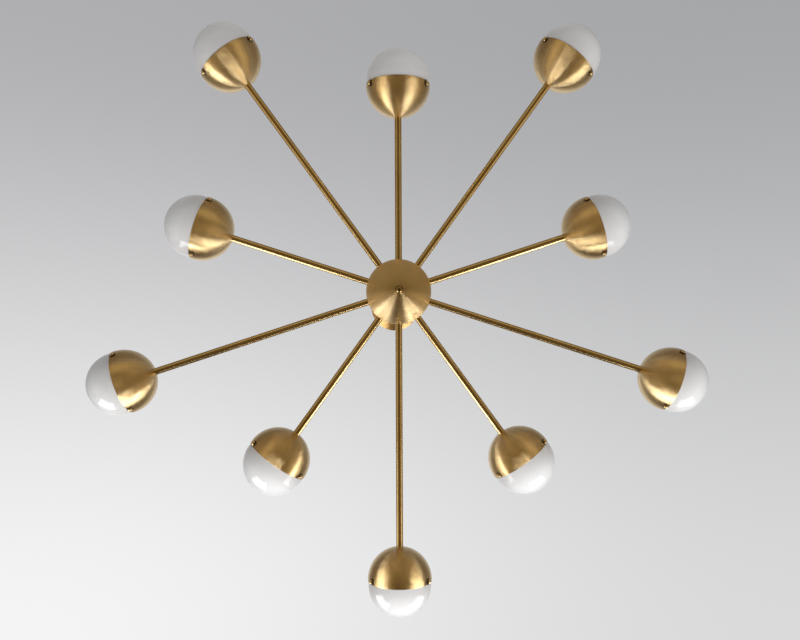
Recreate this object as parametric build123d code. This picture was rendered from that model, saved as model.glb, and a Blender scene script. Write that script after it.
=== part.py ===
from build123d import *

import math
import os

# Ten-armed ceiling light. Five long and five short straight arms leave a ball-shaped hub in one
# level plane. Each arm ends in a spun brass cup that grips an opal glass shade with three screws.
# All sizes are millimetres. The origin is the centre of the ceiling plate's upper face, +Z is up,
# and the first long arm points along +Y.

# ---------------------------------------------------------------- clearances
slip = 0.05          # radial room of a tube or spigot in its socket, and of a turning pin
air = 0.3            # room kept between pieces that pass or face each other

# ---------------------------------------------------------------- layout
long_arms = 5                # as many short arms lie between them
long_reach = 540.0           # hub axis to the rim plane of a long arm's cup
short_reach = 388.0          # hub axis to the rim plane of a short arm's cup
stem_length = 610.0          # cut length of the down rod

# ---------------------------------------------------------------- ceiling fixing
bar_length = 108.0
bar_width = 22.0
bar_thickness = 2.5
bar_slot_spacing = 79.4      # centre to centre of the two slots
bar_slot_width = 5.2
bar_slot_travel = 9.5        # how far a box screw can slide in its slot
canopy_diameter = 130.0
canopy_height = 25.0
canopy_rim_height = 5.0      # straight part of the canopy's side
canopy_wall = 1.0
nipple_diameter = 10.0
nipple_bore = 7.0
locknut_flats = 14.0
locknut_thickness = 4.0
ring_diameter = 24.0         # knurled ring that holds the canopy up
ring_height = 6.0
ring_notches = 24

# ---------------------------------------------------------------- swivel
flange_diameter = 15.0       # foot of the nipple, on which the swivel hangs and turns
flange_thickness = 2.5
swivel_wall = 2.4            # wall, cap and floor of the swivel's turning cup
ear_thickness = 4.5
lug_radius = 8.0             # rounded end of the ears and of the eye
lug_thickness = 7.4          # the eye between the ears
pin_diameter = 5.0
pin_head_diameter = 9.0
pin_head_thickness = 1.6
eye_drop = 14.0              # pivot to the top of the eye's collar
eye_collar_wall = 3.0
stem_socket_depth = 9.0

# ---------------------------------------------------------------- tubes
tube_diameter = 13.0
tube_wall = 1.2
spigot_diameter = 10.0       # threaded end of an arm, through the cup and into the lampholder
spigot_bore = 7.0
spigot_grip = 8.0            # length of spigot inside the lampholder
plug_length = 9.0            # solid end of the arm tube behind the spigot

# ---------------------------------------------------------------- hub
hub_diameter = 122.0
hub_wall = 1.2
hub_seam = 0.2               # gap between the two half shells
hub_top_land = 12.0          # radius of the flat where the shell sits on the core's neck
hub_foot_land = 4.0          # radius of the flat where the finial bears
core_cavity_radius = 24.0
core_half_height = 13.0
core_web = 7.0               # wall between the cavity and the arm sockets
core_roof = 5.0
arm_socket_depth = 11.0
plate_thickness = 3.0
plate_ledge = 2.0            # how far the closing plate's seat is wider than the cavity
rod_diameter = 6.0
finial_diameter = 15.0
finial_bore_depth = 9.0
terminal_apothem = 14.0
terminal_height = 12.0
wire_diameter = 2.8

# ---------------------------------------------------------------- cup and its screws
cup_diameter = 120.0
cup_wall = 0.8
cup_lip = 1.5                # straight lip beyond the cup's widest circle
screws_per_cup = 3
screw_inset = 5.5            # rim plane to the screw's axis
screw_diameter = 4.0
screw_head_diameter = 8.4
screw_head_height = 4.4
screw_neck_height = 0.8      # plain collar under the rounded head
boss_wall = 1.6
boss_gap = 0.8               # boss to the neck of the glass

# ---------------------------------------------------------------- glass shade
glass_wall = 3.0
glass_advance = 10.0         # the glass ball's centre lies this far outside the cup's centre
neck_step = 2.5              # the neck is this much smaller in radius than the glass
neck_length = 13.5           # rim plane to the end of the neck

# ---------------------------------------------------------------- lampholder and bulb
holder_plate_radius = 12.0
holder_plate_thickness = 2.0
holder_body_radius = 10.0
holder_length = 24.0         # with the plate
pin_pitch = 9.0
pin_width = 2.8
pin_thickness = 1.0
pin_length = 12.0
pin_room = 0.15
bulb_base_width = 15.0
bulb_base_thickness = 7.0
bulb_base_length = 9.0
bulb_radius = 8.0
bulb_length = 38.0           # glass capsule beyond its base

# ---------------------------------------------------------------- derived places
canopy_radius = canopy_diameter / 2
nipple_hole_radius = nipple_diameter / 2 + slip
ring_bottom = -(canopy_height + ring_height)
cap_top = ring_bottom - air
cap_bottom = cap_top - swivel_wall
flange_top = cap_bottom - slip
flange_bottom = flange_top - flange_thickness
cup_floor_top = flange_bottom - air
swivel_floor = cup_floor_top - swivel_wall
swivel_cavity_radius = flange_diameter / 2 + air
swivel_radius = swivel_cavity_radius + swivel_wall
pivot_z = swivel_floor - lug_radius - 1.0
eye_top = pivot_z - eye_drop
ear_gap = lug_thickness + 2 * air

tube_radius = tube_diameter / 2
tube_bore_radius = tube_radius - tube_wall
tube_hole_radius = tube_radius + slip
stem_top = eye_top - eye_collar_wall
eye_bottom = stem_top - stem_socket_depth
stem_bottom = stem_top - stem_length

hub_radius = hub_diameter / 2
hub_inner_radius = hub_radius - hub_wall
core_socket_radius = core_cavity_radius + core_web
core_radius = core_socket_radius + arm_socket_depth
neck_top_height = math.sqrt(hub_radius**2 - hub_top_land**2) - hub_wall
hub_z = stem_bottom + stem_socket_depth - neck_top_height
cavity_top = core_half_height - core_roof
foot_height = math.sqrt(hub_radius**2 - hub_foot_land**2)
finial_radius = finial_diameter / 2
finial_drop = foot_height + math.sqrt(finial_radius**2 - hub_foot_land**2)

cup_radius = cup_diameter / 2
cup_inner_radius = cup_radius - cup_wall
pole_depth = math.sqrt(cup_radius**2 - tube_radius**2)
glass_radius = cup_inner_radius - air
neck_radius = glass_radius - neck_step
screw_seat = cup_lip - screw_inset
holder_seat = -math.sqrt(cup_inner_radius**2 - holder_plate_radius**2) + slip
holder_face = holder_seat + holder_length
spigot_end = holder_seat + spigot_grip
holder_bore_end = spigot_end + air

arm_count = 2 * long_arms
arm_numbers = range(1, arm_count + 1)


def sphere_place(radius, offset, centre=0.0, side=1):
    """Place along the axis where a sphere's surface lies `offset` away from the axis."""
    return centre + side * math.sqrt(radius**2 - offset**2)


def sphere_arc(radius, first, last, centre=0.0, side=1):
    """Arc of a sphere's outline, from the offset `first` to the offset `last`."""
    middle = (math.asin(first / radius) + math.asin(last / radius)) / 2
    return ThreePointArc(
        (first, sphere_place(radius, first, centre, side)),
        (radius * math.sin(middle), centre + side * radius * math.cos(middle)),
        (last, sphere_place(radius, last, centre, side)),
    )


def turned(*edges):
    """Solid of revolution about Z from a closed outline in (radius, height)."""
    outline = Curve() + list(edges)
    return revolve(Plane.XZ * make_face(outline), Axis.Z)


def turned_points(*points):
    """Solid of revolution about Z from straight runs through (radius, height) points."""
    return turned(Polyline(*points, close=True))


def drilled(radius, low, high):
    """Cylinder about Z between two heights, used as a bore or a plain post."""
    return Pos(0, 0, (low + high) / 2) * Cylinder(radius, high - low)


def across(radius, low, high, height=0.0):
    """Cylinder along X between two places, at a height."""
    return Pos((low + high) / 2, 0, height) * Rot(0, 90, 0) * Cylinder(radius, high - low)


def arm_direction(number):
    angle = math.radians(90 + (number - 1) * 360 / arm_count)
    return Vector(math.cos(angle), math.sin(angle), 0)


def arm_reach(number):
    return long_reach if number % 2 else short_reach


def hub_frame(number):
    """Frame at the hub's centre: local Z runs out along the arm and local X points up."""
    return Plane(origin=(0, 0, hub_z), x_dir=(0, 0, 1), z_dir=arm_direction(number)).location


def cup_frame(number):
    """Frame at the centre of an arm's cup, turned as the arm's frame."""
    return hub_frame(number) * Pos(0, 0, arm_reach(number) - cup_lip)


def screw_frame(turn):
    """Frame on a cup's axis at the screws: local Z runs out through one screw."""
    return Pos(0, 0, screw_seat) * Rot(0, 0, turn) * Rot(0, 90, 0)


def screw_turns():
    return [index * 360 / screws_per_cup for index in range(screws_per_cup)]


# ---------------------------------------------------------------- ceiling fixing


def crossbar():
    bar = extrude(RectangleRounded(bar_length, bar_width, bar_width / 4), -bar_thickness)
    bar -= drilled(nipple_hole_radius, -bar_thickness, 0)
    slot = SlotOverall(bar_slot_travel + bar_slot_width, bar_slot_width)
    for side in (-1, 1):
        bar -= Pos(side * bar_slot_spacing / 2, 0) * extrude(slot, -bar_thickness)
    return bar


def canopy():
    """Shallow spun dish with a straight rim, domed to a flat land round its centre hole."""
    land = ring_diameter / 2
    rise = canopy_height - canopy_rim_height
    centre = ((canopy_radius**2 - land**2) / rise - canopy_height - canopy_rim_height) / 2
    outer = math.hypot(canopy_radius, canopy_rim_height + centre)
    inner = outer - canopy_wall
    inside = canopy_radius - canopy_wall
    inner_floor = canopy_wall - canopy_height
    inner_land = math.sqrt(inner**2 - (centre - inner_floor)**2)
    hole = nipple_hole_radius
    return turned(
        Line((canopy_radius, 0), (canopy_radius, -canopy_rim_height)),
        sphere_arc(outer, canopy_radius, land, centre, -1),
        Polyline(
            (land, -canopy_height),
            (hole, -canopy_height),
            (hole, inner_floor),
            (inner_land, inner_floor),
        ),
        sphere_arc(inner, inner_land, inside, centre, -1),
        Polyline((inside, sphere_place(inner, inside, centre, -1)), (inside, 0), (canopy_radius, 0)),
    )


def canopy_nipple():
    """Hollow threaded tube through the bar and the canopy, with a flange at its foot."""
    shank = nipple_diameter / 2
    flange = flange_diameter / 2
    bore = nipple_bore / 2
    return turned_points(
        (bore, 0),
        (shank, 0),
        (shank, flange_top),
        (flange, flange_top),
        (flange, flange_bottom),
        (bore, flange_bottom),
    )


def locknut():
    corner_radius = locknut_flats / math.sqrt(3)
    nut = extrude(RegularPolygon(corner_radius, 6), -locknut_thickness)
    return Pos(0, 0, -bar_thickness) * (nut - drilled(nipple_hole_radius, -locknut_thickness, 0))


def canopy_ring():
    """Ring nut under the canopy, its edge notched for grip."""
    radius = ring_diameter / 2
    bevel = ring_height / 6
    ring = turned_points(
        (nipple_hole_radius, -canopy_height),
        (radius - bevel, -canopy_height),
        (radius, -canopy_height - bevel),
        (radius, ring_bottom + bevel),
        (radius - bevel, ring_bottom),
        (nipple_hole_radius, ring_bottom),
    )
    notch = drilled(ring_diameter / 40, ring_bottom, -canopy_height)
    return ring - [place * notch for place in PolarLocations(radius, ring_notches)]


# ---------------------------------------------------------------- swivel


def swivel_cap():
    return drilled(swivel_radius, cap_bottom, cap_top) - drilled(nipple_hole_radius, cap_bottom, cap_top)


def swivel_yoke():
    """Turning cup that hangs on the nipple's flange, with two ears for the tilt pin."""
    yoke = turned_points(
        (nipple_bore / 2, swivel_floor),
        (swivel_radius, swivel_floor),
        (swivel_radius, cap_bottom),
        (swivel_cavity_radius, cap_bottom),
        (swivel_cavity_radius, cup_floor_top),
        (nipple_bore / 2, cup_floor_top),
    )
    drop = swivel_floor - pivot_z
    for side in (-1, 1):
        middle = side * (ear_gap + ear_thickness) / 2
        ear = Pos(middle, 0, pivot_z + drop / 2) * Box(ear_thickness, 2 * lug_radius, drop)
        ear += across(lug_radius, middle - ear_thickness / 2, middle + ear_thickness / 2, pivot_z)
        yoke += ear
    half_width = ear_gap / 2 + ear_thickness
    return yoke - across(pin_diameter / 2 + slip, -half_width, half_width, pivot_z)


def swivel_pin():
    """Cross pin with a button head at each end."""
    half_width = ear_gap / 2 + ear_thickness
    tip = half_width + pin_head_thickness
    pin = across(pin_diameter / 2, -half_width, half_width, pivot_z)
    pin += across(pin_head_diameter / 2, half_width, tip, pivot_z)
    pin += across(pin_head_diameter / 2, -tip, -half_width, pivot_z)
    return pin


def stem_eye():
    """Eye that tilts on the pin, with a collar that takes the top of the down rod."""
    half = lug_thickness / 2
    collar_radius = tube_hole_radius + eye_collar_wall
    eye = across(lug_radius, -half, half, pivot_z)
    eye += Pos(0, 0, pivot_z - eye_drop / 2) * Box(lug_thickness, 2 * lug_radius, eye_drop)
    eye += drilled(collar_radius, eye_bottom, eye_top)
    eye -= drilled(tube_hole_radius, eye_bottom, stem_top)
    return eye - across(pin_diameter / 2 + slip, -half, half, pivot_z)


def stem():
    return drilled(tube_radius, stem_bottom, stem_top) - drilled(tube_bore_radius, stem_bottom, stem_top)


# ---------------------------------------------------------------- hub, modelled about its own centre


def hub_core():
    """Turned body: ten arm sockets round a wiring cavity, and a neck that takes the down rod."""
    neck_radius_outer = hub_top_land - air
    cavity_seat = core_cavity_radius + plate_ledge
    socket_floor = neck_top_height - stem_socket_depth
    core = turned_points(
        (tube_bore_radius, cavity_top),
        (tube_bore_radius, socket_floor),
        (tube_hole_radius, socket_floor),
        (tube_hole_radius, neck_top_height),
        (neck_radius_outer, neck_top_height),
        (neck_radius_outer, core_half_height),
        (core_radius, core_half_height),
        (core_radius, -core_half_height),
        (cavity_seat, -core_half_height),
        (cavity_seat, plate_thickness - core_half_height),
        (core_cavity_radius, plate_thickness - core_half_height),
        (core_cavity_radius, cavity_top),
    )
    core = Pos(0, 0, hub_z) * core
    socket = drilled(tube_hole_radius, core_socket_radius, core_radius + 1)
    socket += drilled(tube_bore_radius, core_cavity_radius - 1, core_socket_radius)
    return core - [hub_frame(number) * socket for number in arm_numbers]


def hub_shell(side, land, hole_radius):
    """Half of the hub's ball. side is 1 for the upper half and -1 for the lower half."""
    outer_land = side * math.sqrt(hub_radius**2 - land**2)
    inner_land_height = outer_land - side * hub_wall
    inner_land = math.sqrt(hub_inner_radius**2 - inner_land_height**2)
    edge = side * hub_seam / 2
    inner_edge = math.sqrt(hub_inner_radius**2 - edge**2)
    outer_edge = math.sqrt(hub_radius**2 - edge**2)
    shell = turned(
        Line((inner_edge, edge), (outer_edge, edge)),
        sphere_arc(hub_radius, outer_edge, land, 0, side),
        Polyline(
            (land, outer_land),
            (hole_radius, outer_land),
            (hole_radius, inner_land_height),
            (inner_land, inner_land_height),
        ),
        sphere_arc(hub_inner_radius, inner_land, inner_edge, 0, side),
    )
    notch = drilled(tube_radius + air, core_radius, hub_radius + 1)
    return Pos(0, 0, hub_z) * shell - [hub_frame(number) * notch for number in arm_numbers]


def finial_rod():
    """Closing plate of the core with the rod that carries the lower shell and the finial."""
    seat = core_cavity_radius + plate_ledge - slip
    rod = rod_diameter / 2
    rod_end = -foot_height - finial_bore_depth + air
    top = plate_thickness - core_half_height
    return Pos(0, 0, hub_z) * turned_points(
        (0, top),
        (seat, top),
        (seat, -core_half_height),
        (rod, -core_half_height),
        (rod, rod_end),
        (0, rod_end),
    )


def finial():
    ball = Sphere(finial_radius)
    flat = finial_drop - foot_height
    ball = split(ball, Plane.XY.offset(flat), keep=Keep.BOTTOM)
    ball -= drilled(rod_diameter / 2 + slip, flat - finial_bore_depth, flat)
    return Pos(0, 0, hub_z - finial_drop) * ball


def terminal_block():
    """Connector under the core's roof, with one flat towards each arm."""
    block = extrude(RegularPolygon(terminal_apothem, arm_count, major_radius=False), terminal_height)
    return Pos(0, 0, hub_z + cavity_top - terminal_height) * Rot(0, 0, 90 - 180 / arm_count) * block


# ---------------------------------------------------------------- arm, along +Z from the hub's axis


def arm(reach):
    """Tube from its socket in the core to the cup, ending in a hollow threaded spigot."""
    cup_centre = reach - cup_lip
    shoulder = cup_centre - pole_depth
    tip = cup_centre + spigot_end
    bore = spigot_bore / 2
    spigot = spigot_diameter / 2
    return turned_points(
        (tube_bore_radius, core_socket_radius),
        (tube_radius, core_socket_radius),
        (tube_radius, shoulder),
        (spigot, shoulder),
        (spigot, tip),
        (bore, tip),
        (bore, shoulder - plug_length),
        (tube_bore_radius, shoulder - plug_length),
    )


def arm_wire(reach):
    return drilled(wire_diameter / 2, terminal_apothem, reach - cup_lip + holder_bore_end)


# ---------------------------------------------------------------- cup, about its own centre, mouth to +Z


def cup():
    """Spun half ball with a flat at its pole for the arm and three screw bosses inside its rim."""
    hole = spigot_diameter / 2 + slip
    inner_pole = -sphere_place(cup_inner_radius, hole)
    shell = turned(
        Polyline(
            (hole, inner_pole),
            (hole, -pole_depth),
            (tube_radius, -pole_depth),
        ),
        sphere_arc(cup_radius, tube_radius, cup_radius, 0, -1),
        Polyline(
            (cup_radius, 0),
            (cup_radius, cup_lip),
            (cup_inner_radius, cup_lip),
            (cup_inner_radius, 0),
        ),
        sphere_arc(cup_inner_radius, cup_inner_radius, hole, 0, -1),
    )
    bore = screw_diameter / 2 + slip
    boss_foot = neck_radius + boss_gap
    boss_root = sphere_place(cup_inner_radius, abs(screw_seat) + bore + boss_wall)
    boss = drilled(bore + boss_wall, boss_foot, boss_root + cup_wall / 2)
    hole = drilled(bore, boss_foot - 1, cup_radius + 1)
    for turn in screw_turns():
        shell += screw_frame(turn) * boss
        shell -= screw_frame(turn) * hole
    return shell


def shade_screw():
    """Round-headed thumb screw along +Z, its tip just clear of the glass neck."""
    tip = neck_radius + air
    seat = cup_radius + air / 2
    head = screw_head_diameter / 2
    collar = screw_diameter / 2 + (head - screw_diameter / 2) / 2
    dome = screw_head_height - screw_neck_height
    crown = (head**2 + dome**2) / (2 * dome)
    head_foot = seat + screw_neck_height
    shank = screw_diameter / 2
    return turned(
        Polyline(
            (0, tip),
            (shank, tip),
            (shank, seat),
            (collar, seat),
            (collar, head_foot),
            (head, head_foot),
        ),
        sphere_arc(crown, head, 0, head_foot + dome - crown, 1 if crown >= dome else -1),
        Line((0, head_foot + dome), (0, tip)),
    )


# ---------------------------------------------------------------- lamp and shade, about the cup's centre


def pin_slots(width, thickness, low, high):
    """The lamp's two flat pins, or the slots that take them."""
    blade = extrude(SlotOverall(width, thickness), high - low)
    return [Pos(side * pin_pitch / 2, 0, low) * Rot(0, 0, 90) * blade for side in (-1, 1)]


def lampholder():
    holder = drilled(holder_plate_radius, holder_seat, holder_seat + holder_plate_thickness)
    holder += drilled(holder_body_radius, holder_seat + holder_plate_thickness, holder_face)
    holder -= drilled(spigot_diameter / 2 + slip, holder_seat, holder_bore_end)
    slot_end = holder_face - pin_length - air
    width = pin_width + 2 * pin_room
    thickness = pin_thickness + 2 * pin_room
    return holder - pin_slots(width, thickness, slot_end, holder_face)


def bulb():
    """Capsule lamp: flat pins, a flat base and a round-ended glass capsule."""
    seat = holder_face + slip
    outline = RectangleRounded(bulb_base_width, bulb_base_thickness, bulb_base_thickness / 5)
    base = Pos(0, 0, seat) * extrude(outline, bulb_base_length)
    start = seat + bulb_base_length
    round_end = start + bulb_length - bulb_radius
    lamp = base + drilled(bulb_radius, start, round_end) + Pos(0, 0, round_end) * Sphere(bulb_radius)
    for blade in pin_slots(pin_width, pin_thickness, seat - pin_length + slip, seat):
        lamp += blade
    return lamp


def shade():
    """Opal glass: a half ball, a short straight side, and a smaller neck inside the cup."""
    inner_radius = glass_radius - glass_wall
    inner_neck = neck_radius - glass_wall
    neck_end = cup_lip - neck_length
    shoulder = cup_lip - air
    slope = neck_step / 2
    return turned(
        Line((0, glass_advance + inner_radius), (0, glass_advance + glass_radius)),
        sphere_arc(glass_radius, 0, glass_radius, glass_advance),
        Polyline(
            (glass_radius, glass_advance),
            (glass_radius, shoulder),
            (neck_radius, shoulder - slope),
            (neck_radius, neck_end),
            (inner_neck, neck_end),
            (inner_neck, shoulder),
            (inner_radius, shoulder + slope),
            (inner_radius, glass_advance),
        ),
        sphere_arc(inner_radius, inner_radius, 0, glass_advance),
    )


# ---------------------------------------------------------------- the assembly, one file a node

nodes = {
    "crossbar": crossbar(),
    "canopy": canopy(),
    "canopy_nipple": canopy_nipple(),
    "locknut": locknut(),
    "canopy_ring": canopy_ring(),
    "swivel_cap": swivel_cap(),
    "swivel_yoke": swivel_yoke(),
    "swivel_pin": swivel_pin(),
    "stem_eye": stem_eye(),
    "stem": stem(),
    "hub_core": hub_core(),
    "hub_upper_shell": hub_shell(1, hub_top_land, tube_radius + air),
    "hub_lower_shell": hub_shell(-1, hub_foot_land, rod_diameter / 2 + slip),
    "finial_rod": finial_rod(),
    "finial": finial(),
    "terminal_block": terminal_block(),
}

one_cup = cup()
one_shade = shade()
one_bulb = bulb()
one_holder = lampholder()
one_screw = shade_screw()
holders = []
screws = []
wires = []
for number in arm_numbers:
    reach = arm_reach(number)
    nodes[f"arm_{number:02d}"] = hub_frame(number) * arm(reach)
    nodes[f"cup_{number:02d}"] = cup_frame(number) * one_cup
    nodes[f"shade_{number:02d}"] = cup_frame(number) * one_shade
    nodes[f"bulb_{number:02d}"] = cup_frame(number) * one_bulb
    holders.append(cup_frame(number) * one_holder)
    screws += [cup_frame(number) * screw_frame(turn) * one_screw for turn in screw_turns()]
    wires.append(hub_frame(number) * arm_wire(reach))
nodes["lampholders"] = Compound(children=holders)
nodes["shade_screws"] = Compound(children=screws)
nodes["arm_wires"] = Compound(children=wires)

os.makedirs("parts", exist_ok=True)
for name, shape in nodes.items():
    export_step(shape, f"parts/{name}.step")
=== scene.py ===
# %% [markdown]
# # A ten-armed ceiling light in satin brass and opal glass
# This file dresses a light whose construction is already settled elsewhere: every tube, cup and
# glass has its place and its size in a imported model, and nothing here moves it. What is made here is
# what the eye sees: turned surfaces with true curves, the finish that a lathe leaves on brass, glossy
# opal glass, and a quiet studio to look at them in. All lengths are metres.

import math

import bmesh
import bpy
import numpy as np
from mathutils import Euler, Matrix, Vector


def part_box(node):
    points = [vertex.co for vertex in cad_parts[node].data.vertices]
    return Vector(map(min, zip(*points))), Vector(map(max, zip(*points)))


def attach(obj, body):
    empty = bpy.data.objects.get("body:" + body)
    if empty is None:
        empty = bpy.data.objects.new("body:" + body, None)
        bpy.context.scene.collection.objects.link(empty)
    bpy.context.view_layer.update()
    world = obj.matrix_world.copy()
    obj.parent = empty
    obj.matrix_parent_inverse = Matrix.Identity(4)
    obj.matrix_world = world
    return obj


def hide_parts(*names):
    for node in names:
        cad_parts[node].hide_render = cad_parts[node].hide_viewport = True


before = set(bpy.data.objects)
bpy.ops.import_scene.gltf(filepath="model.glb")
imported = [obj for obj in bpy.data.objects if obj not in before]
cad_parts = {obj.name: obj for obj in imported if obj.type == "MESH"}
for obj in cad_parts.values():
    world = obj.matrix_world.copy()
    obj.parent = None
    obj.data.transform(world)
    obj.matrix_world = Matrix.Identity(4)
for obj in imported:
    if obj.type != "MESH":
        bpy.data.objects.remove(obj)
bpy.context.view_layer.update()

# %% [markdown]
# The light's own sizes. The places that other pieces depend on are read from the frame: the height
# of the hub from an arm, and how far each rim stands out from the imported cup. The turned shapes need
# the radii of their curves, which a box doesn't give, so these few are written here.

# %% Sizes in metres
mm = 0.001
ARM_COUNT = 10
arm_numbers = range(1, ARM_COUNT + 1)

arm_low, arm_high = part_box("arm_01")
hub_height = (arm_low.z + arm_high.z) / 2
hub_centre = Vector((0, 0, hub_height))
hub_radius = 61.0 * mm
hub_wall = 1.2 * mm
tube_radius = 6.5 * mm
tube_wall = 1.2 * mm
cup_radius = 60.0 * mm
cup_wall = 0.8 * mm
cup_lip = 1.5 * mm
air = 0.3 * mm
thread_air = 0.05 * mm
glass_wall = 3.0 * mm
glass_advance = 10.0 * mm
neck_step = 2.5 * mm
neck_length = 13.5 * mm
glass_radius = cup_radius - cup_wall - air
neck_radius = glass_radius - neck_step
print("hub centre", round(hub_height, 4), "m below the ceiling")


def arm_direction(number):
    angle = math.radians(90 + (number - 1) * 360 / ARM_COUNT)
    return Vector((math.cos(angle), math.sin(angle), 0))


def along_arm(number, distance):
    """Frame on an arm's axis: local Z runs out along the arm and local X points up."""
    out = arm_direction(number)
    up = Vector((0, 0, 1))
    turn = Matrix((up, out.cross(up), out)).transposed()
    return Matrix.Translation(hub_centre + out * distance) @ turn.to_4x4()


def farthest(node, direction):
    """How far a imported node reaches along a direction, from the hub's centre."""
    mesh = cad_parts[node].data
    places = np.empty(len(mesh.vertices) * 3)
    mesh.vertices.foreach_get("co", places)
    return float((places.reshape(-1, 3) @ np.array(direction)).max() - hub_centre.dot(direction))


rim_distance = {number: farthest(f"cup_{number:02d}", arm_direction(number)) for number in arm_numbers}
print("rims at", sorted({round(value, 4) for value in rim_distance.values()}), "m from the hub's axis")

# %% [markdown]
# The photograph looks straight up at the light from a little over two metres below the ceiling. A
# camera that looks along +Z with the picture's top towards -Y shows the same view, and three small
# angles lean it as the real one leant. The small shift keeps the hub where the photograph has it.

# %% The camera
camera_data = bpy.data.cameras.new("camera")
camera_data.sensor_width = 36
camera_data.lens = 35.6
camera_data.shift_y = 0.02
camera_data.clip_end = 50
camera = bpy.data.objects.new("camera", camera_data)
bpy.context.collection.objects.link(camera)
looking_up = Matrix(((1, 0, 0), (0, -1, 0), (0, 0, -1)))
lean_pitch = math.radians(0.21)
lean_yaw = math.radians(0.95)
roll = math.radians(0.23)
lean = Euler((lean_pitch, lean_yaw, roll), "XYZ").to_matrix()
camera_place = Vector((-0.0225, 0.0884, -2.2083))
camera.matrix_world = Matrix.Translation(camera_place) @ (lean @ looking_up).to_4x4()
bpy.context.scene.camera = camera
bpy.context.scene.view_settings.view_transform = "Standard"
print("camera", [round(value, 3) for value in camera.location], "lens", camera_data.lens)

# %% [markdown]
# Materials and Geometry Nodes are easier to read as arithmetic than as a web of nodes. `Value` wraps
# one socket, and Python's operators add the Math nodes. Some operators have their reflected form
# too, so that `1 - mask` works as well as `mask - 1`.


# %% A number inside a node tree
class Value:
    """A number that varies over a surface or a pattern: a socket that Python's operators work on."""

    def __init__(self, web, socket):
        self.web = web
        self.socket = socket

    def math(self, operation, *others):
        inputs = dict(enumerate((self, *others)))
        return self.web.add("ShaderNodeMath", {"operation": operation}, inputs)

    def __add__(self, other):
        return self.math("ADD", other)

    def __sub__(self, other):
        return self.math("SUBTRACT", other)

    def __mul__(self, other):
        return self.math("MULTIPLY", other)

    def __truediv__(self, other):
        return self.math("DIVIDE", other)

    def __mod__(self, other):
        return self.math("MODULO", other)

    def __rsub__(self, other):
        return self.web.add("ShaderNodeMath", {"operation": "SUBTRACT"}, {0: other, 1: self})

    __radd__ = __add__
    __rmul__ = __mul__

    def eased(self, low, high):
        """0 below `low`, 1 above `high`, and a soft step between."""
        settings = {"interpolation_type": "SMOOTHSTEP"}
        inputs = {"Value": self, "From Min": low, "From Max": high}
        return self.web.add("ShaderNodeMapRange", settings, inputs)


# %% [markdown]
# `Web` holds any node tree. Its `add` makes a node from its type, its settings and what goes into its
# sockets, and shorter methods make the few nodes that are wanted again and again. The finishes, the
# patterns and the painted room further down are all webs.


# %% A node tree
class Web:
    """A node tree that is built by adding nodes to it."""

    def __init__(self, tree):
        self.tree = tree

    def feed(self, socket, value):
        if isinstance(value, Value):
            self.tree.links.new(value.socket, socket)
        else:
            socket.default_value = value

    def add(self, kind, settings=None, inputs=None, out=0):
        """One node. `out` names the output that is wanted, or a tuple of them."""
        node = self.tree.nodes.new(kind)
        for key, value in (settings or {}).items():
            setattr(node, key, value)
        for key, value in (inputs or {}).items():
            self.feed(node.inputs[key], value)
        if isinstance(out, tuple):
            return tuple(Value(self, node.outputs[name]) for name in out)
        return Value(self, node.outputs[out])

    def mix(self, share, first, second):
        """Mix two colours."""
        inputs = {0: share, 6: first, 7: second}
        return self.add("ShaderNodeMix", {"data_type": "RGBA"}, inputs, out=2)

    def parts(self, vector):
        """The three numbers of a vector."""
        return self.add("ShaderNodeSeparateXYZ", {}, {0: vector}, out=("X", "Y", "Z"))

    def vector(self, x=0.0, y=0.0, z=0.0):
        return self.add("ShaderNodeCombineXYZ", {}, {0: x, 1: y, 2: z})

    def noise(self, place, scale, detail=2.0, roughness=0.5):
        inputs = {"Vector": place, "Scale": scale, "Detail": detail, "Roughness": roughness}
        return self.add("ShaderNodeTexNoise", {}, inputs)


# %% [markdown]
# A finish is a web round one Principled shader. Every piece here has its place in its mesh, so its
# object stays at the origin and Object coordinates are the light's own frame on all of them.


# %% A finish
class Finish(Web):
    """One material. `surface` feeds its shader."""

    def __init__(self, name):
        self.material = bpy.data.materials.new(name)
        self.material.use_nodes = True
        super().__init__(self.material.node_tree)
        self.shader = self.tree.nodes["Principled BSDF"]

    def surface(self, **inputs):
        """Feed the shader's sockets; an underscore in a name stands for a space."""
        for key, value in inputs.items():
            self.feed(self.shader.inputs[key.replace("_", " ")], value)
        return self.material

    def place(self):
        """Object coordinates."""
        return self.add("ShaderNodeTexCoord", out="Object")

    def bump(self, height, strength, distance):
        inputs = {"Strength": strength, "Distance": distance, "Height": height}
        return self.add("ShaderNodeBump", {}, inputs)


# %% [markdown]
# Every large piece of this light is turned or spun on a lathe, and what sets one apart from another
# is its outline: a list of points of (offset from the axis, height). Two helpers keep such a list
# short. `arc` gives a round stretch and `rounded` gives the small fillet that takes a corner's edge.


# %% Outlines
def arc(centre, radius, start, end, steps):
    """Outline points on a circle about (0, centre); the angle is 0 at the far end of the axis."""
    angles = np.radians(np.linspace(start, end, steps + 1))
    return [(radius * math.sin(angle), centre + radius * math.cos(angle)) for angle in angles]


def rounded(corner, before, after, radius, steps=4):
    """Outline points of a small fillet at `corner`, coming from `before` and leaving to `after`."""
    corner, before, after = Vector(corner), Vector(before), Vector(after)
    into = (corner - before).normalized()
    away = (after - corner).normalized()
    turn = into.angle(away)
    reach = radius * math.tan(turn / 2)
    start = corner - into * reach
    end = corner + away * reach
    shares = [step / steps for step in range(steps + 1)]
    return [tuple(start * (1 - s) ** 2 + corner * 2 * s * (1 - s) + end * s**2) for s in shares]


print("a half circle in 8 steps has", len(arc(0, 1, 0, 180, 8)), "points")

# %% [markdown]
# A turned piece is smooth round its axis and crisp at its corners. The mesh has both at once: every
# face is shaded smooth, and the edges that turn by more than an angle are marked sharp.


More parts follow.
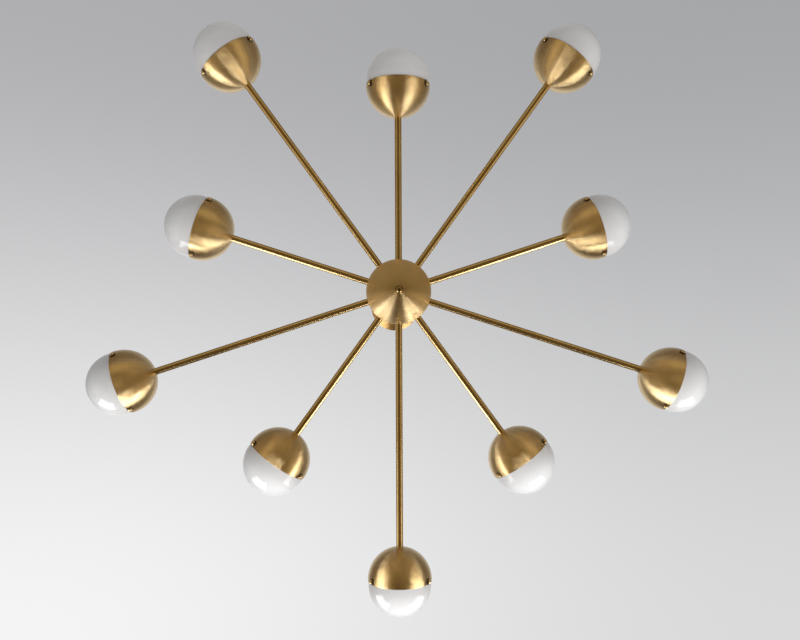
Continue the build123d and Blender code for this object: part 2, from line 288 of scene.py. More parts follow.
# %% Mesh objects and crisp edges
def new_mesh_object(name, mesh):
    piece = bpy.data.objects.new(name, mesh)
    bpy.context.collection.objects.link(piece)
    return piece


def mark_sharp(mesh, degrees=32.0):
    """Smooth shading, with the edges that turn more than an angle kept crisp."""
    work = bmesh.new()
    work.from_mesh(mesh)
    for edge in work.edges:
        edge.smooth = len(edge.link_faces) == 2 and edge.calc_face_angle(0.0) < math.radians(degrees)
    for face in work.faces:
        face.smooth = True
    work.to_mesh(mesh)
    work.free()


# %% [markdown]
# One function sweeps every outline round Z. It also writes a UV map in millimetres, where U counts
# round the axis and V runs along the outline. A brushed finish needs that map, because the grooves
# of a lathe follow U. A point that lies on the axis becomes a single vertex, so poles are closed.

# %% Sweeping an outline round its axis
ON_AXIS = 1e-7


def turned_mesh(name, outline, sides=128):
    """Sweep an outline round Z. Points at offset 0 become poles; any other outline closes on itself."""
    points = [(max(offset, 0.0), height) for offset, height in outline]
    on_axis = [offset < ON_AXIS for offset, _ in points]
    verts = []
    rows = []
    for (offset, height), pole in zip(points, on_axis):
        rows.append(len(verts))
        if pole:
            verts.append((0, 0, height))
            continue
        for side in range(sides):
            angle = 2 * math.pi * side / sides
            verts.append((offset * math.cos(angle), offset * math.sin(angle), height))
    lengths = [0.0]
    loop = list(range(len(points)))
    if not any(on_axis):
        loop.append(0)
    for here, there in zip(loop, loop[1:]):
        lengths.append(lengths[-1] + math.dist(points[here], points[there]))
    around = 2 * math.pi * max(offset for offset, _ in points)
    faces = []
    corners = []
    for step, (here, there) in enumerate(zip(loop, loop[1:])):
        if on_axis[here] and on_axis[there]:
            continue
        low, high = lengths[step] / mm, lengths[step + 1] / mm
        for side in range(sides):
            other = (side + 1) % sides
            left, right = around * side / sides / mm, around * (side + 1) / sides / mm
            a, b = rows[here] + side, rows[here] + other
            c, d = rows[there] + other, rows[there] + side
            if on_axis[here]:
                faces.append((rows[here], c, d))
                corners += [((left + right) / 2, low), (right, high), (left, high)]
            elif on_axis[there]:
                faces.append((a, b, rows[there]))
                corners += [(left, low), (right, low), ((left + right) / 2, high)]
            else:
                faces.append((a, b, c, d))
                corners += [(left, low), (right, low), (right, high), (left, high)]
    mesh = bpy.data.meshes.new(name)
    mesh.from_pydata(verts, [], faces)
    layer = mesh.uv_layers.new(name="turning")
    layer.data.foreach_set("uv", np.array(corners, dtype=np.float32).ravel())
    mark_sharp(mesh)
    return mesh


# %% [markdown]
# Which way the faces look depends on whether the outline runs clockwise. The sign of the area that
# it encloses tells which, so a piece is put right before it goes to its place.


# %% A turned piece
def turned(name, outline, place=None, sides=128):
    """A turned piece in its place, with its faces outwards."""
    mesh = turned_mesh(name, outline, sides)
    area = 0.0
    loop = outline + outline[:1]
    for (offset, height), (next_offset, next_height) in zip(loop, loop[1:]):
        area += offset * next_height - next_offset * height
    if area < 0:
        mesh.flip_normals()
    if place is not None:
        mesh.transform(place)
    return new_mesh_object(name, mesh)


# %% [markdown]
# ## Satin brass
# The cups, the hub and the canopy were spun and then brushed while they turned, so fine grooves run
# round each axis. Light spreads across grooves and not along them. That is why each cup shows bright
# wedges that run from its pole to its rim. A bump map can't hold grooves much finer than a pixel, so
# the surface's normal itself is tipped along V by a noise that changes every few hundredths of a
# millimetre. Averaged over a pixel, it is the highlight of real brushed metal. The slope has a cube
# in it, so that a few grooves are steep and carry a faint glow far across the cup. Scratches and
# wide bands on top are the marks where the brush was lifted and set down again.


# %% Brushed brass
STEEP_GROOVES = 16
SCRATCH_DEPTH = 0.05
BAND_DEPTH = 0.03


def brushed_brass(name, pale, deep, spread, roughness, **constants):
    """Lathe-brushed brass. `spread` is how far the grooves tip the surface, as a slope."""
    finish = Finish(name)
    around, along, _ = finish.parts(finish.add("ShaderNodeUVMap", {"uv_map": "turning"}))

    def grooves(per_mm_around, per_mm_along, start):
        lane = finish.vector(around * per_mm_around + start, along * per_mm_along)
        return finish.noise(lane, 1.0, detail=1.0) - 0.5

    hairlines = grooves(0.02, 40.0, 0.0)
    scratches = grooves(0.012, 3.0, 7.0)
    bands = grooves(0.004, 0.7, 19.0)
    fine = hairlines * (hairlines * hairlines * STEEP_GROOVES + 1)
    slope = (fine + scratches * SCRATCH_DEPTH + bands * BAND_DEPTH) * spread
    tangent_colour = finish.add("ShaderNodeCombineColor", {}, {"Red": 0.5, "Green": slope + 0.5, "Blue": 1.0})
    cloud = finish.noise(finish.place(), 14.0, detail=3.0)
    tone = (cloud + scratches * 0.4 + bands * 0.4).eased(0.25, 0.75)
    return finish.surface(
        Base_Color=finish.mix(tone, deep, pale),
        Metallic=1.0,
        Roughness=cloud * 0.06 + scratches * 0.05 + (roughness - 0.03),
        Normal=finish.add("ShaderNodeNormalMap", {"uv_map": "turning"}, {"Color": tangent_colour}),
        **constants,
    )


# %% [markdown]
# The cups point in ten directions, so they need the grooves in their normals. The hub and the canopy
# were turned about the light's upright axis, and the shader's own anisotropy runs round that axis
# too. With its rotation at a quarter turn the highlight spreads across the grooves, which gives the
# same wedges without grain. The arms and the down rod are drawn tube: darker, with shallow marks.

# %% Four satin brasses
PALE_BRASS = (0.81, 0.62, 0.335, 1)
DEEP_BRASS = (0.73, 0.53, 0.26, 1)
across_grooves = {"Anisotropic": 0.9, "Anisotropic_Rotation": 0.25}
satin = brushed_brass("satin_brass", PALE_BRASS, DEEP_BRASS, spread=2.2, roughness=0.22)
hub_satin = brushed_brass(
    "hub_brass", (0.93, 0.725, 0.42, 1), (0.85, 0.645, 0.34, 1), spread=0.5, roughness=0.48, **across_grooves
)
tube_satin = brushed_brass(
    "tube_brass", (0.72, 0.54, 0.28, 1), (0.62, 0.45, 0.21, 1), spread=0.3, roughness=0.26
)
canopy_satin = brushed_brass(
    "canopy_brass", (0.87, 0.59, 0.265, 1), (0.81, 0.52, 0.21, 1), spread=0.5, roughness=0.5, **across_grooves
)
print("brushed finishes:", satin.name, hub_satin.name, tube_satin.name, canopy_satin.name)

# %% [markdown]
# The small fittings are brass too, but made other ways. The screws, the ring nut and the swivel's
# pin are polished. The finial is buffed to a shine, and its brass is painted much darker than the
# rest: a painted shade that gives the small shiny ball its dark rim against the hub. Each screw
# stands on a washer painted near black, a painted shadow for the shade round its head. The swivel
# is milled and left satin, and the hub's core is a sand casting with a grain of its own. The ceiling
# bar, its nipple and locknut, the finial's rod and the lamps' pins are steel with a skin of zinc, and
# a filament is tungsten. All are small or hidden, so plain noise on Object coordinates is enough
# for them.


# %% Plain brass and steel
def metal(name, pale, deep, roughness, grain, bump=0.0, depth=0.0002):
    """Metal without grooves: `grain` is how many patches go to a metre."""
    finish = Finish(name)
    cloud = finish.noise(finish.place(), grain, detail=4.0, roughness=0.6)
    return finish.surface(
        Base_Color=finish.mix(cloud.eased(0.3, 0.7), deep, pale),
        Metallic=1.0,
        Roughness=cloud * 0.10 + (roughness - 0.05),
        Normal=finish.bump(cloud, bump, depth),
    )


polished = metal("polished_brass", (0.78, 0.60, 0.33, 1), (0.70, 0.51, 0.25, 1), 0.09, 60.0, 0.03)
# The finial's brass is painted dark: a painted shade that gives the small shiny ball its dark rim.
darkened_finial_brass = metal("buffed_brass", (0.33, 0.23, 0.09, 1), (0.27, 0.18, 0.07, 1), 0.13, 60.0, 0.02)
milled = metal("milled_brass", PALE_BRASS, DEEP_BRASS, 0.28, 220.0, 0.15)
# The screw washers are painted near black: a painted shadow for the shade round each screw head.
painted_shadow_black = metal("burnt_brass", (0.085, 0.05, 0.03, 1), (0.05, 0.03, 0.02, 1), 0.45, 300.0, 0.1)
cast = metal("cast_brass", (0.58, 0.42, 0.22, 1), (0.44, 0.30, 0.14, 1), 0.48, 700.0, 0.8)
zinc = metal("zinc_steel", (0.66, 0.67, 0.70, 1), (0.50, 0.50, 0.50, 1), 0.34, 320.0, 0.2)
tungsten = metal("tungsten", (0.42, 0.40, 0.38, 1), (0.30, 0.29, 0.28, 1), 0.38, 900.0, 0.2)
print("plain metals:", [one.name for one in (polished, darkened_finial_brass, milled, painted_shadow_black, cast, zinc, tungsten)])

# %% [markdown]
# ## Opal glass
# The globes are white glass with a clear glossy skin. Opal glass scatters light so near its surface
# that a plain diffuse white stands for it, and costs less than light carried under the skin. The
# skin gives the crisp reflections of the lamps, a little weaker than clear glass would. Near the
# neck the glass has brass behind it instead of an open white ball, so less light comes through it;
# that shade is painted into its colour, darker and warmer there. Blown glass is never quite true,
# so a slow bump lets the reflections wander.


# %% Opal glass
def opal_glass(name, neck_shade_from, neck_shade_to):
    """The two distances are millimetres along the outline, counted from the tip; between them the painted
    shade near the neck comes in.
    """
    finish = Finish(name)
    place = finish.place()
    _, along, _ = finish.parts(finish.add("ShaderNodeUVMap", {"uv_map": "turning"}))
    milk = finish.noise(place, 9.0, detail=3.0)
    sway = finish.noise(place, 16.0, detail=1.0)
    white = finish.mix(milk.eased(0.3, 0.7), (0.74, 0.74, 0.74, 1), (0.78, 0.78, 0.78, 1))
    # Painted shade: the glass near the neck is darker and warmer, for the light that the brass cup keeps out.
    painted_neck_shade = (0.62, 0.605, 0.595, 1)
    return finish.surface(
        Base_Color=finish.mix(along.eased(neck_shade_from, neck_shade_to), white, painted_neck_shade),
        Roughness=milk * 0.03 + 0.02,
        Normal=finish.bump(sway, 0.05, 0.004),
        IOR=1.5,
        Specular_IOR_Level=0.3,
    )


to_widest = glass_radius / mm * math.pi / 2
opal = opal_glass("opal_glass", neck_shade_from=0.62 * to_widest, neck_shade_to=1.12 * to_widest)
print("glass finish:", opal.name)

# %% [markdown]
# A shade that is drawn off uncovers a glazed porcelain lampholder and a clear capsule lamp. The
# connector block and the sleeves of the wires stay inside the hub and the arms, and get a finish for
# whoever takes the model apart.


# %% Porcelain, clear glass and plastics
def dielectric(name, pale, deep, roughness, grain, bump=0.0, **constants):
    """Porcelain, glass or plastic, with a slow drift of tone."""
    finish = Finish(name)
    cloud = finish.noise(finish.place(), grain, detail=4.0)
    return finish.surface(
        Base_Color=finish.mix(cloud.eased(0.3, 0.7), deep, pale),
        Roughness=cloud * 0.08 + (roughness - 0.04),
        Normal=finish.bump(cloud, bump, 0.0002),
        **constants,
    )


porcelain = dielectric("porcelain", (0.83, 0.82, 0.79, 1), (0.76, 0.74, 0.70, 1), 0.18, 300.0, 0.1)
see_through = {"Transmission_Weight": 0.9, "IOR": 1.5}
clear = dielectric(
    "clear_glass", (0.98, 0.98, 0.98, 1), (0.93, 0.95, 0.95, 1), 0.05, 90.0, 0.02, **see_through
)
nylon = dielectric("white_nylon", (0.80, 0.80, 0.78, 1), (0.74, 0.74, 0.71, 1), 0.42, 500.0, 0.15)
sleeve = dielectric("wire_sleeve", (0.77, 0.75, 0.70, 1), (0.66, 0.63, 0.57, 1), 0.6, 900.0, 0.4)
print("inner finishes:", porcelain.name, clear.name, nylon.name, sleeve.name)

# %% [markdown]
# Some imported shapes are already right, because they are flat bars, nuts and blocks, or hide inside.
# They stay as they are and only get their finish.

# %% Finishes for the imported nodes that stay
kept = {
    "crossbar": zinc,
    "locknut": zinc,
    "canopy_nipple": zinc,
    "finial_rod": zinc,
    "canopy_ring": polished,
    "swivel_pin": polished,
    "swivel_cap": milled,
    "swivel_yoke": milled,
    "stem_eye": milled,
    "hub_core": cast,
    "lampholders": porcelain,
    "terminal_block": nylon,
    "arm_wires": sleeve,
}
for node, material in kept.items():
    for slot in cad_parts[node].material_slots:
        slot.material = material
print("kept nodes:", len(kept))

# %% [markdown]
# Everything else is made anew. Each new piece gets its finish, rides on the body it moves with, and
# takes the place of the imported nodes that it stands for.


# %% Dressing a new piece
def dress(piece, material, body, slot, *nodes):
    piece.data.materials.clear()
    piece.data.materials.append(material)
    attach(piece, body)
    if nodes:
        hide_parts(*nodes)


# %% [markdown]
# ## The cups
# Each cup is a half ball of thin sheet with a short straight lip. It was spun over a former, so its
# wall is even, and its edge is rounded off. The outline goes from the hole at the pole over the
# outside to the lip, round the edge, and back along the inside.

# %% Cups
spigot_radius = 5.0 * mm


def cup_outline():
    inner = cup_radius - cup_wall
    hole = spigot_radius + thread_air
    pole = math.degrees(math.asin(tube_radius / cup_radius))
    inner_pole = math.degrees(math.asin(hole / inner))
    edge = cup_wall * 0.45
    points = [(hole, -math.sqrt(cup_radius**2 - tube_radius**2))]
    points += arc(0, cup_radius, 180 - pole, 90, 40)
    points += rounded((cup_radius, cup_lip), (cup_radius, 0), (inner, cup_lip), edge)
    points += rounded((inner, cup_lip), (cup_radius, cup_lip), (inner, 0), edge)
    points += arc(0, inner, 90, 180 - inner_pole, 40)
    return points


for number in arm_numbers:
    place = along_arm(number, rim_distance[number] - cup_lip)
    piece = turned(f"brass_cup_{number:02d}", cup_outline(), place)
    dress(piece, satin, "fixture", "satin_brass", f"cup_{number:02d}")
print("cups:", ARM_COUNT, "of", len(piece.data.polygons), "faces")

# %% [markdown]
# ## The glass shades
# A shade is a half ball of opal glass that runs on into a short straight side, steps in at the cup's
# lip and ends in a neck that the three screws hold. All of that is one outline again.


# %% Glass shades
def shade_outline():
    outer = glass_radius
    inner = outer - glass_wall
    neck_inner = neck_radius - glass_wall
    neck_end = cup_lip - neck_length
    shoulder = cup_lip - air
    slope = neck_step / 2
    points = arc(glass_advance, outer, 0, 90, 48)
    points += rounded((outer, shoulder), (outer, glass_advance), (neck_radius, shoulder - slope), 0.5 * mm)
    points += rounded((neck_radius, shoulder - slope), (outer, shoulder), (neck_radius, neck_end), 0.5 * mm)
    points += rounded((neck_radius, neck_end), (neck_radius, 0), (neck_inner, neck_end), 1.2 * mm)
    points += rounded((neck_inner, neck_end), (neck_radius, neck_end), (neck_inner, 0), 1.2 * mm)
    points += [(neck_inner, shoulder), (inner, shoulder + slope)]
    points += arc(glass_advance, inner, 90, 0, 48)
    return points


for number in arm_numbers:
    place = along_arm(number, rim_distance[number] - cup_lip)
    piece = turned(f"opal_globe_{number:02d}", shade_outline(), place, sides=144)
    dress(piece, opal, f"shade_body_{number:02d}", "opal_glass", f"shade_{number:02d}")
print("globes:", ARM_COUNT, "of", len(piece.data.polygons), "faces")

# %% [markdown]
# ## The lamps inside
# A drawn shade uncovers a pin-based capsule lamp: a hollow glass capsule on a flat ceramic base, two
# flat pins under it, and a coiled filament on two supports inside. The capsule is turned, like the
# globes: its outline goes up the outside, over the tip and back down the hollow.

# %% Sizes and glass of a capsule lamp
lamp_radius = 8.0 * mm
lamp_wall = 0.9 * mm
lamp_length = 38.0 * mm
base_width, base_thickness, base_length = 15.0 * mm, 7.0 * mm, 9.0 * mm
pin_pitch, pin_width, pin_thickness, pin_length = 9.0 * mm, 2.8 * mm, 1.0 * mm, 12.0 * mm
lamp_heel, hollow_heel = 2.2 * mm, 1.6 * mm


def capsule_outline(foot):
    tip = foot + lamp_length
    round_end = tip - lamp_radius
    hollow = lamp_radius - lamp_wall
    points = [(0, foot)] + rounded((lamp_radius, foot), (0, foot), (lamp_radius, tip), lamp_heel)
    points += arc(round_end, lamp_radius, 90, 0, 16) + arc(round_end, hollow, 0, 90, 16)
    points += rounded((hollow, foot + lamp_wall), (hollow, tip), (0, foot + lamp_wall), hollow_heel)
    return points + [(0, foot + lamp_wall)]


print("a lamp is", round((pin_length + base_length + lamp_length) / mm), "mm from pins to tip")

# %% [markdown]
# The base and the pins aren't round, so they are lofted: a skin goes through a stack of rounded
# rectangles, and a smaller one at each end makes the chamfer.


# %% A loft through rounded rectangles
def capped_tube(work, rings):
    """Join rings of vertices into a closed skin."""
    count = len(rings[0])
    for low, high in zip(rings, rings[1:]):
        for side in range(count):
            other = (side + 1) % count
            work.faces.new((low[side], low[other], high[other], high[side]))
    work.faces.new(rings[0][::-1])
    work.faces.new(rings[-1])


def lofted(work, sections, centre=0.0, corner_steps=4):
    """Add a closed solid through rounded rectangles (width, thickness, corner, height) to a bmesh."""
    rings = []
    for width, thickness, corner, height in sections:
        ring = []
        for quarter in range(4):
            middle_x = (width / 2 - corner) * (1, -1, -1, 1)[quarter]
            middle_y = (thickness / 2 - corner) * (1, 1, -1, -1)[quarter]
            for step in range(corner_steps + 1):
                angle = math.radians(90 * (quarter + step / corner_steps))
                x, y = middle_x + corner * math.cos(angle), middle_y + corner * math.sin(angle)
                ring.append(work.verts.new((centre + x, y, height)))
        rings.append(ring)
    capped_tube(work, rings)


# %% [markdown]
# The filament is one wire that is swept along a path: up a support, along a coil that arches from
# one support to the other, and down again. The ring of vertices is carried along with the least
# twist, so the wire doesn't wring where it bends.

# %% A wire along a path
support_gap = 4.4 * mm
wire_radius = 0.17 * mm
coil_height, coil_rise, coil_radius, coil_start = 15.0 * mm, 4.0 * mm, 0.8 * mm, 2.0 * mm


def swept(work, path, radius, sides=6):
    """Add a round wire along a path of points to a bmesh, with closed ends."""
    rings = []
    across = Vector((0, 1, 0))
    for index, point in enumerate(path):
        forward = (path[min(index + 1, len(path) - 1)] - path[max(index - 1, 0)]).normalized()
        across = (across - forward * across.dot(forward)).normalized()
        third = forward.cross(across)
        angles = [2 * math.pi * side / sides for side in range(sides)]
        ring = [point + (across * math.cos(angle) + third * math.sin(angle)) * radius for angle in angles]
        rings.append([work.verts.new(corner) for corner in ring])
    capped_tube(work, rings)


def filament_path(foot, turns=8, steps=10):
    half, shoulder = support_gap / 2, foot + coil_height
    path = [Vector((-half, 0, foot)), Vector((-half, 0, shoulder - coil_start))]
    count = turns * steps
    for step in range(count + 1):
        share = step / count
        grow = min(1, 6 * share, 6 * (1 - share)) * coil_radius
        turn = 2 * math.pi * turns * share
        x = -half * math.cos(math.pi * share)
        z = shoulder + coil_rise * math.sin(math.pi * share) + grow * math.cos(turn)
        path.append(Vector((x, grow * math.sin(turn), z)))
    return path + [Vector((half, 0, shoulder - coil_start)), Vector((half, 0, foot))]


print("filament:", len(filament_path(0.0)), "points along its path")

# %% [markdown]
# Capsule, base, pins and filament all ride on the lamp's own body, so they pull out together. The
# lamp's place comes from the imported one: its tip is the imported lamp's farthest point.

# %% Ten capsule lamps
waist = 0.6 * mm
pin_point = 0.6


def solid(name, work, place):
    bmesh.ops.recalc_face_normals(work, faces=work.faces)
    mesh = bpy.data.meshes.new(name)
    work.to_mesh(mesh)
    work.free()
    mark_sharp(mesh)
    mesh.transform(place)
    return new_mesh_object(name, mesh)


def add_base(work, seat, foot):
    narrow, thin = base_width - 2 * waist, base_thickness - 2 * waist
    lofted(work, [
        (narrow, thin, 1.0 * mm, seat),
        (base_width, base_thickness, 1.4 * mm, seat + waist),
        (base_width, base_thickness, 1.4 * mm, foot - 2 * waist),
        (narrow, base_thickness - waist, 1.2 * mm, foot),
    ])


def add_pin(work, seat, centre):
    end = seat - pin_length
    corner = 0.4 * pin_thickness
    lofted(work, [
        (pin_point * pin_thickness, pin_point * pin_width, 0.25 * pin_thickness, end),
        (pin_thickness, pin_width, corner, end + waist),
        (pin_thickness, pin_width, corner, seat),
    ], centre)


for number in arm_numbers:
    tag = f"{number:02d}"
    body = f"bulb_body_{tag}"
    foot = farthest(f"bulb_{tag}", arm_direction(number)) - lamp_length
    place = along_arm(number, 0)
    capsule = turned(f"lamp_capsule_{tag}", capsule_outline(foot), place, sides=48)
    dress(capsule, clear, body, "clear_glass", f"bulb_{tag}")
    seat = foot - base_length
    base = bmesh.new()
    add_base(base, seat, foot)
    dress(solid(f"lamp_base_{tag}", base, place), porcelain, body, "ceramic")
    pins = bmesh.new()
    for side in (-1, 1):
        add_pin(pins, seat, side * pin_pitch / 2)
    dress(solid(f"lamp_pins_{tag}", pins, place), zinc, body, "zinc_steel")
    wire = bmesh.new()
    swept(wire, filament_path(foot + lamp_wall), wire_radius)
    dress(solid(f"lamp_filament_{tag}", wire, place), tungsten, body, "zinc_steel")
print("lamps:", ARM_COUNT, "with", len(capsule.data.polygons), "faces of glass each")

# %% [markdown]
# ## What repeats round the hub
# Ten arms leave the hub at equal angles, long and short in turn, and each cup has three screws. That
# is a rule, so Geometry Nodes can follow it: points are counted out, a long or a short copy is picked
# by the point's number, and each copy is turned to its own angle. The tree runs as a live modifier,
# and `baked` swaps that for the plain mesh that it makes.


# %% From a live modifier to a plain mesh
def baked(piece):
    """Swap a piece's live modifiers for the plain mesh that they make."""
    bpy.context.view_layer.update()
    graph = bpy.context.evaluated_depsgraph_get()
    evaluated = piece.evaluated_get(graph)
    mesh = bpy.data.meshes.new_from_object(evaluated, preserve_all_data_layers=True, depsgraph=graph)
    piece.modifiers.clear()
    piece.data = mesh
    return piece


# %% [markdown]
# A pattern is a web of Geometry Nodes. Its sizes are named inputs, so they could still be changed on
# the modifier, and the values for them are kept by each socket's identifier. The tree ends in
# realized geometry with its finish on it, because an instance has no mesh of its own to export.


# %% A pattern
class Pattern(Web):
    """A Geometry Nodes tree whose sizes are named inputs of its modifier."""

    def __init__(self, name):
        super().__init__(bpy.data.node_groups.new(name, "GeometryNodeTree"))
        self.tree.interface.new_socket("Geometry", in_out="OUTPUT", socket_type="NodeSocketGeometry")
        self.group_input = self.tree.nodes.new("NodeGroupInput")
        self.settings = {}

    def given(self, name, value, kind="Float"):
        """A named input, with the value that the modifier gives it."""
        socket = self.tree.interface.new_socket(name, in_out="INPUT", socket_type=f"NodeSocket{kind}")
        self.settings[socket.identifier] = value
        return Value(self, self.group_input.outputs[name])

    def seed(self, name, source):
        """The mesh of another object, given as an input."""
        inputs = {"Object": self.given(name, source, "Object")}
        return self.add("GeometryNodeObjectInfo", {}, inputs, out="Geometry")

    def copies(self, points, seed, turn, chosen=True):
        inputs = {"Points": points, "Instance": seed, "Rotation": turn, "Selection": chosen}
        return self.add("GeometryNodeInstanceOnPoints", {}, inputs)

    def joined(self, *shapes):
        together = self.add("GeometryNodeJoinGeometry")
        for shape in shapes:
            self.feed(together.socket.node.inputs[0], shape)
        return together

    def piece(self, name, shape, material):
        """Realize the pattern, give it its finish and make it a plain mesh object."""
        realized = self.add("GeometryNodeRealizeInstances", {}, {0: shape})
        coated = self.add("GeometryNodeSetMaterial", {}, {"Geometry": realized, "Material": material})
        self.feed(self.tree.nodes.new("NodeGroupOutput").inputs[0], coated)
        piece = new_mesh_object(name, bpy.data.meshes.new(name))
        modifier = piece.modifiers.new(name, "NODES")
        modifier.node_group = self.tree
        for identifier, value in self.settings.items():
            modifier[identifier] = value
        return baked(piece)


# %% [markdown]
# The star is the rule itself. Every copy of a seed first stands round the arm's own axis, as the
# three screws of a cup do, and then goes out along its arm. The seeds are turned meshes that lie
# along +X, and they bring their UV maps with them.


# %% A star of copies
def star(name, material, long_seed, short_seed, long_reach=0.0, short_reach=0.0, around_each=1):
    """Copies of the seeds on the ten arms. `around_each` copies stand round each arm's own axis."""
    pattern = Pattern(name)
    arms = pattern.given("Arms", ARM_COUNT, "Int")
    first_angle = pattern.given("First angle", math.radians(90))
    far = pattern.given("Long reach", long_reach)
    near = pattern.given("Short reach", short_reach)
    height = pattern.given("Height", hub_height)
    around = pattern.given("Around each", around_each, "Int")
    number = pattern.add("GeometryNodeInputIndex")
    full_turn = 2 * math.pi
    is_short = number % 2
    angle = number * full_turn / arms + first_angle
    reach = far + (near - far) * is_short
    place = pattern.vector(angle.math("COSINE") * reach, angle.math("SINE") * reach, height)
    ends = pattern.add("GeometryNodePoints", {}, {"Count": arms, "Position": place})
    centre = pattern.add("GeometryNodePoints", {}, {"Count": around})
    own_turn = pattern.vector(x=number * full_turn / around)
    shapes = []
    for label, seed, kind in (("Long seed", long_seed, 0), ("Short seed", short_seed, 1)):
        bunch = pattern.copies(centre, pattern.seed(label, seed), own_turn)
        chosen = is_short.math("COMPARE", kind, 0.5)
        shapes.append(pattern.copies(ends, bunch, pattern.vector(z=angle), chosen))
    return pattern.piece(name, pattern.joined(*shapes), material)


def seed_along_x(name, outline, sides):
    """A turned mesh whose axis lies along +X."""
    return turned(name, outline, Matrix.Rotation(math.pi / 2, 4, "Y"), sides)


def forget(*pieces):
    for piece in pieces:
        bpy.data.objects.remove(piece)


# %% [markdown]
# ## The arms
# An arm is a straight 13 mm tube. It starts in a socket of the hub's core, leaves the hub through a
# notch between the two half shells, and meets the flat at the cup's pole. There it steps down to a
# threaded spigot that goes on into the lampholder.

# %% Arms
socket_bottom = 31.0 * mm
spigot_bore = 3.5 * mm
spigot_end = 26.0 * mm
plug_length = 9.0 * mm
pole_depth = math.sqrt(cup_radius**2 - tube_radius**2)


def arm_outline(rim):
    shoulder = rim - cup_lip - pole_depth
    bore = tube_radius - tube_wall
    return [
        (bore, socket_bottom),
        (tube_radius, socket_bottom),
        (tube_radius, shoulder),
        (spigot_radius, shoulder),
        (spigot_radius, shoulder + spigot_end),
        (spigot_bore, shoulder + spigot_end),
        (spigot_bore, shoulder - plug_length),
        (bore, shoulder - plug_length),
    ]


long_tube = seed_along_x("long_tube", arm_outline(rim_distance[1]), 64)
short_tube = seed_along_x("short_tube", arm_outline(rim_distance[2]), 64)
arms = star("brass_arms", tube_satin, long_tube, short_tube)
dress(arms, tube_satin, "fixture", "satin_brass", *(f"arm_{number:02d}" for number in arm_numbers))
forget(long_tube, short_tube)
print("arms:", ARM_COUNT, "tubes,", len(arms.data.polygons), "faces")

# %% [markdown]
# ## The screws
# Three round-headed screws stand through each cup's wall and hold the neck of the glass. The head is
# a polished dome on a thin collar, and under it lies a near-black washer: a painted shadow for the
# shade round the head, which shows as a dark spot beside it. Each screw runs in a short boss
# soldered inside the cup, which shows only when the shade is drawn off.

# %% Outlines of a screw, its boss and its washer
screw_inset = 5.5 * mm
screw_radius = 2.0 * mm
head_radius = 4.2 * mm
head_height = 4.4 * mm
head_collar = 0.8 * mm
boss_radius = 3.65 * mm
boss_gap = 0.8 * mm
washer_radius = 5.7 * mm
washer_thickness = 0.55 * mm


def screw_outline():
    seat = cup_radius + air / 2
    foot = seat + head_collar
    dome = head_height - head_collar
    crown = (head_radius**2 + dome**2) / (2 * dome)
    collar = (screw_radius + head_radius) / 2
    widest = math.degrees(math.asin(head_radius / crown))
    tip = neck_radius + air
    points = [(0, tip), (screw_radius, tip), (screw_radius, seat), (collar, seat), (collar, foot)]
    points += rounded((head_radius, foot), (collar, foot), (head_radius, foot + dome), 0.35 * mm)
    return points + arc(foot + dome - crown, crown, 0.94 * widest, 0, 12)


def boss_outline():
    bore = screw_radius + thread_air
    foot = neck_radius + boss_gap
    root = cup_radius - cup_wall
    edge = 0.3 * mm
    points = [(bore, root), (bore, foot)]
    points += rounded((boss_radius, foot), (bore, foot), (boss_radius, root), edge)
    return points + [(boss_radius, root)]


def washer_outline():
    bore = screw_radius + thread_air
    seat = cup_radius + air / 4
    top = seat + washer_thickness
    points = [(bore, seat), (washer_radius, seat)]
    points += rounded((washer_radius, top), (washer_radius, seat), (bore, top), 0.2 * mm)
    return points + [(bore, top)]


print("a screw's tip stands", round((neck_radius + air) / mm, 1), "mm from its arm's axis")

# %% [markdown]
# The same star lays all three sets. Its copies stand a third of a turn apart round each arm, on a
# circle that lies a little way in from the cup's rim.

# %% Thirty screws
long_circle = rim_distance[1] - screw_inset
short_circle = rim_distance[2] - screw_inset
one_screw = turned("one_screw", screw_outline(), sides=32)
one_boss = turned("one_boss", boss_outline(), sides=32)
one_washer = turned("one_washer", washer_outline(), sides=48)
screws = star("shade_screw_set", polished, one_screw, one_screw, long_circle, short_circle, around_each=3)
bosses = star("screw_bosses", milled, one_boss, one_boss, long_circle, short_circle, around_each=3)
# The near-black washers are a painted shadow round each screw head.
shadow_washers = star("screw_washers", painted_shadow_black, one_washer, one_washer, long_circle, short_circle, around_each=3)
dress(screws, polished, "fixture", "polished_brass", "shade_screws")
dress(shadow_washers, painted_shadow_black, "fixture", "satin_brass")
dress(bosses, milled, "fixture", "satin_brass")
forget(one_screw, one_boss, one_washer)
print("faces of screws, bosses, washers:", [len(piece.data.polygons) for piece in (screws, bosses, shadow_washers)])

# %% [markdown]
# ## The hub
# The hub's ball is two spun half shells that meet at the height of the arms. Ten notches across the
# seam let the arms out. The same star that laid the arms now lays ten slightly wider plugs, and a
# Boolean modifier cuts them away.

# %% Hub shells
upper_land = 12.0 * mm
lower_land = 4.0 * mm
rod_radius = 3.0 * mm
half_seam = 0.1 * mm
plug_start, plug_end = 35.0 * mm, 70.0 * mm
plug_radius = tube_radius + air


def hub_outline(land, hole):
    """A half shell with its pole at +Z, its seam at the bottom and a flat land at the pole."""
    inner = hub_radius - hub_wall
    top = math.sqrt(hub_radius**2 - land**2)
    inner_land = math.sqrt(inner**2 - (top - hub_wall) ** 2)
    edge = 0.25 * mm
    points = [(hole, top - hub_wall), (hole, top), (land, top)]
    points += arc(0, hub_radius, math.degrees(math.asin(land / hub_radius)), 89.0, 40)
    points += rounded((hub_radius, half_seam), (hub_radius, hub_radius), (inner, half_seam), edge)
    points += [(inner, half_seam)]
    points += arc(0, inner, 89.0, math.degrees(math.asin(inner_land / inner)), 40)
    return points


